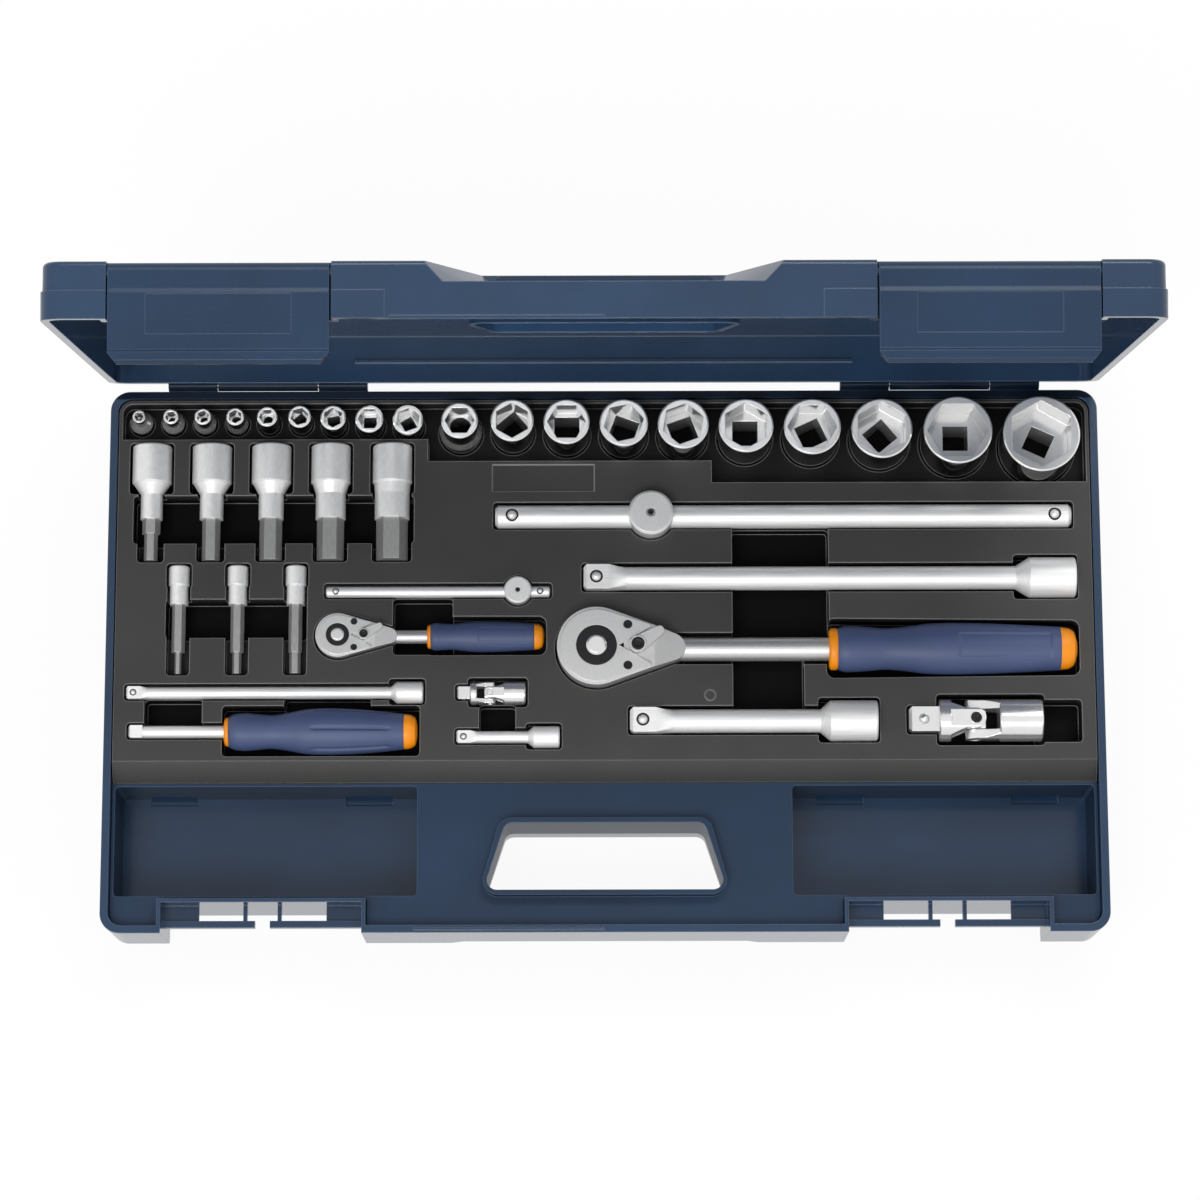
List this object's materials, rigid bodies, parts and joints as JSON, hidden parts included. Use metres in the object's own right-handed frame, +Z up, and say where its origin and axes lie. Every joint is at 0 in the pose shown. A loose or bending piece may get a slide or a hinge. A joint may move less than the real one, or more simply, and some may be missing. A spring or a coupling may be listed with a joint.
{
  "type": "socket wrench set in case",
  "caption": "Socket wrench set in an open hinged plastic case: ratchets, sockets, bit sockets, extensions, T-bars, universal joints and a spinner in a moulded tray.",
  "frame": {"origin": "on the resting face, under the middle of the case's base", "axes": "+X along the case to the right seen from its handle side, +Y towards the hinges, +Z up"},
  "size_m": [0.505, 0.3076, 0.3327],
  "materials": {
    "case_plastic": "navy injection-moulded plastic with a fine satin grain",
    "tray_plastic": "dark grey thermoformed tray with a fine grain",
    "pin_steel": "plain steel pin",
    "chrome_tools": "satin chrome plating",
    "bit_steel": "satin chrome body with a darker grey steel bit",
    "ratchet_chrome": "satin chrome with black screws",
    "drive_steel": "black ring and chrome drive square",
    "grip_rubber": "navy soft grip over an orange core"
  },
  "bodies": {
    "case": {"case_base": "case_plastic", "tray_insert": "tray_plastic", "storage_deck": "case_plastic", "lid_hinge_pins": "pin_steel"},
    "lid": {"case_lid": "case_plastic"},
    "latch_left": {"latch_left": "case_plastic"},
    "latch_right": {"latch_right": "case_plastic"},
    "ratchet_half": {"ratchet_half_body": "ratchet_chrome", "ratchet_half_grip": "grip_rubber"},
    "ratchet_half_drive": {"ratchet_half_drive": "drive_steel"},
    "ratchet_half_lever": {"ratchet_half_lever": "ratchet_chrome"},
    "ratchet_half_button": {"ratchet_half_button": "ratchet_chrome"},
    "ratchet_quarter": {"ratchet_quarter_body": "ratchet_chrome", "ratchet_quarter_grip": "grip_rubber"},
    "ratchet_quarter_drive": {"ratchet_quarter_drive": "drive_steel"},
    "ratchet_quarter_lever": {"ratchet_quarter_lever": "ratchet_chrome"},
    "ratchet_quarter_button": {"ratchet_quarter_button": "ratchet_chrome"},
    "universal_half": {"universal_half_drive_fork": "chrome_tools"},
    "universal_half_cross": {"universal_half_cross": "chrome_tools"},
    "universal_half_socket": {"universal_half_socket_fork": "chrome_tools"},
    "universal_quarter": {"universal_quarter_drive_fork": "chrome_tools"},
    "universal_quarter_cross": {"universal_quarter_cross": "chrome_tools"},
    "universal_quarter_socket": {"universal_quarter_socket_fork": "chrome_tools"},
    "tbar_half": {"tbar_half": "chrome_tools", "tbar_half_head": "chrome_tools"},
    "tbar_quarter": {"tbar_quarter": "chrome_tools", "tbar_quarter_head": "chrome_tools"},
    "spinner": {"spinner_blade": "chrome_tools", "spinner_grip": "grip_rubber"},
    "socket_half_13": {"socket_half_13": "chrome_tools"},
    "socket_half_16": {"socket_half_16": "chrome_tools"},
    "socket_half_17": {"socket_half_17": "chrome_tools"},
    "socket_half_18": {"socket_half_18": "chrome_tools"},
    "socket_half_19": {"socket_half_19": "chrome_tools"},
    "socket_half_21": {"socket_half_21": "chrome_tools"},
    "socket_half_22": {"socket_half_22": "chrome_tools"},
    "socket_half_24": {"socket_half_24": "chrome_tools"},
    "socket_half_27": {"socket_half_27": "chrome_tools"},
    "socket_half_30": {"socket_half_30": "chrome_tools"},
    "socket_quarter_4": {"socket_quarter_4": "chrome_tools"},
    "socket_quarter_5": {"socket_quarter_5": "chrome_tools"},
    "socket_quarter_5_5": {"socket_quarter_5_5": "chrome_tools"},
    "socket_quarter_6": {"socket_quarter_6": "chrome_tools"},
    "socket_quarter_7": {"socket_quarter_7": "chrome_tools"},
    "socket_quarter_8": {"socket_quarter_8": "chrome_tools"},
    "socket_quarter_9": {"socket_quarter_9": "chrome_tools"},
    "socket_quarter_10": {"socket_quarter_10": "chrome_tools"},
    "socket_quarter_11": {"socket_quarter_11": "chrome_tools"},
    "bit_socket_half_6": {"bit_socket_half_6": "bit_steel"},
    "bit_socket_half_8": {"bit_socket_half_8": "bit_steel"},
    "bit_socket_half_10": {"bit_socket_half_10": "bit_steel"},
    "bit_socket_half_12": {"bit_socket_half_12": "bit_steel"},
    "bit_socket_half_14": {"bit_socket_half_14": "bit_steel"},
    "bit_socket_quarter_3": {"bit_socket_quarter_3": "bit_steel"},
    "bit_socket_quarter_4": {"bit_socket_quarter_4": "bit_steel"},
    "bit_socket_quarter_5": {"bit_socket_quarter_5": "bit_steel"},
    "extension_half_250": {"extension_half_250": "chrome_tools"},
    "extension_half_125": {"extension_half_125": "chrome_tools"},
    "extension_quarter_150": {"extension_quarter_150": "chrome_tools"},
    "extension_quarter_50": {"extension_quarter_50": "chrome_tools"}
  },
  "joints": [
    {"name": "lid_hinge", "type": "hinge", "parent": "case", "child": "lid", "pos_m": [0, 0.143, 0.05], "axis": [-1, 0, 0], "range_deg": [-81, 14]},
    {"name": "latch_left_swing", "type": "hinge", "parent": "lid", "child": "latch_left", "pos_m": [-0.172, 0.1205, 0.32821], "axis": [-1, 0, 0], "range_deg": [0, 100]},
    {"name": "latch_right_swing", "type": "hinge", "parent": "lid", "child": "latch_right", "pos_m": [0.172, 0.1205, 0.32821], "axis": [-1, 0, 0], "range_deg": [0, 100]},
    {"name": "ratchet_half_drive_spin", "type": "hinge", "parent": "ratchet_half", "child": "ratchet_half_drive", "pos_m": [-0.004, 0.005, 0.046], "axis": [0, 0, 1], "continuous": true},
    {"name": "ratchet_half_lever_swing", "type": "hinge", "parent": "ratchet_half", "child": "ratchet_half_lever", "pos_m": [0.0169, 0.005, 0.046], "axis": [0, 0, 1], "range_deg": [-66, 0]},
    {"name": "ratchet_half_button_press", "type": "slide", "parent": "ratchet_half_drive", "child": "ratchet_half_button", "axis": [0, 0, 1], "range_m": [-0.0015, 0], "stiffness_N_per_m": 1500},
    {"name": "ratchet_quarter_drive_spin", "type": "hinge", "parent": "ratchet_quarter", "child": "ratchet_quarter_drive", "pos_m": [-0.135, 0.0118, 0.046], "axis": [0, 0, 1], "continuous": true},
    {"name": "ratchet_quarter_lever_swing", "type": "hinge", "parent": "ratchet_quarter", "child": "ratchet_quarter_lever", "pos_m": [-0.1217, 0.0118, 0.046], "axis": [0, 0, 1], "range_deg": [-56, 0]},
    {"name": "ratchet_quarter_button_press", "type": "slide", "parent": "ratchet_quarter_drive", "child": "ratchet_quarter_button", "axis": [0, 0, 1], "range_m": [-0.001, 0], "stiffness_N_per_m": 1500},
    {"name": "universal_half_cross_turn", "type": "hinge", "parent": "universal_half", "child": "universal_half_cross", "pos_m": [0.187, -0.032, 0.046], "axis": [0, 0, 1], "range_deg": [-2, 2]},
    {"name": "universal_half_fork_bend", "type": "hinge", "parent": "universal_half_cross", "child": "universal_half_socket", "pos_m": [0.187, -0.032, 0.046], "axis": [0, -1, 0], "range_deg": [0, 40]},
    {"name": "universal_quarter_cross_turn", "type": "hinge", "parent": "universal_quarter", "child": "universal_quarter_cross", "pos_m": [-0.0579, -0.0175, 0.046], "axis": [0, -1, 0], "range_deg": [0, 40]},
    {"name": "universal_quarter_fork_bend", "type": "hinge", "parent": "universal_quarter_cross", "child": "universal_quarter_socket", "pos_m": [-0.0579, -0.0175, 0.046], "axis": [0, 0, 1], "range_deg": [-2, 2]},
    {"name": "ratchet_half_lift", "type": "slide", "parent": "case", "child": "ratchet_half", "axis": [0, 0, 1], "range_m": [0, 0.1]},
    {"name": "ratchet_quarter_lift", "type": "slide", "parent": "case", "child": "ratchet_quarter", "axis": [0, 0, 1], "range_m": [0, 0.1]},
    {"name": "tbar_half_lift", "type": "slide", "parent": "case", "child": "tbar_half", "axis": [0, 0, 1], "range_m": [0, 0.1]},
    {"name": "tbar_quarter_lift", "type": "slide", "parent": "case", "child": "tbar_quarter", "axis": [0, 0, 1], "range_m": [0, 0.1]},
    {"name": "universal_half_lift", "type": "slide", "parent": "case", "child": "universal_half", "axis": [0, 0, 1], "range_m": [0, 0.1]},
    {"name": "universal_quarter_lift", "type": "slide", "parent": "case", "child": "universal_quarter", "axis": [0, 0, 1], "range_m": [0, 0.1]},
    {"name": "spinner_lift", "type": "slide", "parent": "case", "child": "spinner", "axis": [0, 0, 1], "range_m": [0, 0.1]},
    {"name": "extension_half_250_lift", "type": "slide", "parent": "case", "child": "extension_half_250", "axis": [0, 0, 1], "range_m": [0, 0.1]},
    {"name": "extension_half_125_lift", "type": "slide", "parent": "case", "child": "extension_half_125", "axis": [0, 0, 1], "range_m": [0, 0.1]},
    {"name": "extension_quarter_150_lift", "type": "slide", "parent": "case", "child": "extension_quarter_150", "axis": [0, 0, 1], "range_m": [0, 0.1]},
    {"name": "extension_quarter_50_lift", "type": "slide", "parent": "case", "child": "extension_quarter_50", "axis": [0, 0, 1], "range_m": [0, 0.1]},
    {"name": "bit_socket_half_6_lift", "type": "slide", "parent": "case", "child": "bit_socket_half_6", "axis": [0, 0, 1], "range_m": [0, 0.1]},
    {"name": "bit_socket_half_8_lift", "type": "slide", "parent": "case", "child": "bit_socket_half_8", "axis": [0, 0, 1], "range_m": [0, 0.1]},
    {"name": "bit_socket_half_10_lift", "type": "slide", "parent": "case", "child": "bit_socket_half_10", "axis": [0, 0, 1], "range_m": [0, 0.1]},
    {"name": "bit_socket_half_12_lift", "type": "slide", "parent": "case", "child": "bit_socket_half_12", "axis": [0, 0, 1], "range_m": [0, 0.1]},
    {"name": "bit_socket_half_14_lift", "type": "slide", "parent": "case", "child": "bit_socket_half_14", "axis": [0, 0, 1], "range_m": [0, 0.1]},
    {"name": "bit_socket_quarter_3_lift", "type": "slide", "parent": "case", "child": "bit_socket_quarter_3", "axis": [0, 0, 1], "range_m": [0, 0.1]},
    {"name": "bit_socket_quarter_4_lift", "type": "slide", "parent": "case", "child": "bit_socket_quarter_4", "axis": [0, 0, 1], "range_m": [0, 0.1]},
    {"name": "bit_socket_quarter_5_lift", "type": "slide", "parent": "case", "child": "bit_socket_quarter_5", "axis": [0, 0, 1], "range_m": [0, 0.1]},
    {"name": "socket_half_13_lift", "type": "slide", "parent": "case", "child": "socket_half_13", "axis": [0, 0, 1], "range_m": [0, 0.1]},
    {"name": "socket_half_16_lift", "type": "slide", "parent": "case", "child": "socket_half_16", "axis": [0, 0, 1], "range_m": [0, 0.1]},
    {"name": "socket_half_17_lift", "type": "slide", "parent": "case", "child": "socket_half_17", "axis": [0, 0, 1], "range_m": [0, 0.1]},
    {"name": "socket_half_18_lift", "type": "slide", "parent": "case", "child": "socket_half_18", "axis": [0, 0, 1], "range_m": [0, 0.1]},
    {"name": "socket_half_19_lift", "type": "slide", "parent": "case", "child": "socket_half_19", "axis": [0, 0, 1], "range_m": [0, 0.1]},
    {"name": "socket_half_21_lift", "type": "slide", "parent": "case", "child": "socket_half_21", "axis": [0, 0, 1], "range_m": [0, 0.1]},
    {"name": "socket_half_22_lift", "type": "slide", "parent": "case", "child": "socket_half_22", "axis": [0, 0, 1], "range_m": [0, 0.1]},
    {"name": "socket_half_24_lift", "type": "slide", "parent": "case", "child": "socket_half_24", "axis": [0, 0, 1], "range_m": [0, 0.1]},
    {"name": "socket_half_27_lift", "type": "slide", "parent": "case", "child": "socket_half_27", "axis": [0, 0, 1], "range_m": [0, 0.1]},
    {"name": "socket_half_30_lift", "type": "slide", "parent": "case", "child": "socket_half_30", "axis": [0, 0, 1], "range_m": [0, 0.1]},
    {"name": "socket_quarter_4_lift", "type": "slide", "parent": "case", "child": "socket_quarter_4", "axis": [0, 0, 1], "range_m": [0, 0.1]},
    {"name": "socket_quarter_5_lift", "type": "slide", "parent": "case", "child": "socket_quarter_5", "axis": [0, 0, 1], "range_m": [0, 0.1]},
    {"name": "socket_quarter_5_5_lift", "type": "slide", "parent": "case", "child": "socket_quarter_5_5", "axis": [0, 0, 1], "range_m": [0, 0.1]},
    {"name": "socket_quarter_6_lift", "type": "slide", "parent": "case", "child": "socket_quarter_6", "axis": [0, 0, 1], "range_m": [0, 0.1]},
    {"name": "socket_quarter_7_lift", "type": "slide", "parent": "case", "child": "socket_quarter_7", "axis": [0, 0, 1], "range_m": [0, 0.1]},
    {"name": "socket_quarter_8_lift", "type": "slide", "parent": "case", "child": "socket_quarter_8", "axis": [0, 0, 1], "range_m": [0, 0.1]},
    {"name": "socket_quarter_9_lift", "type": "slide", "parent": "case", "child": "socket_quarter_9", "axis": [0, 0, 1], "range_m": [0, 0.1]},
    {"name": "socket_quarter_10_lift", "type": "slide", "parent": "case", "child": "socket_quarter_10", "axis": [0, 0, 1], "range_m": [0, 0.1]},
    {"name": "socket_quarter_11_lift", "type": "slide", "parent": "case", "child": "socket_quarter_11", "axis": [0, 0, 1], "range_m": [0, 0.1]}
  ]
}
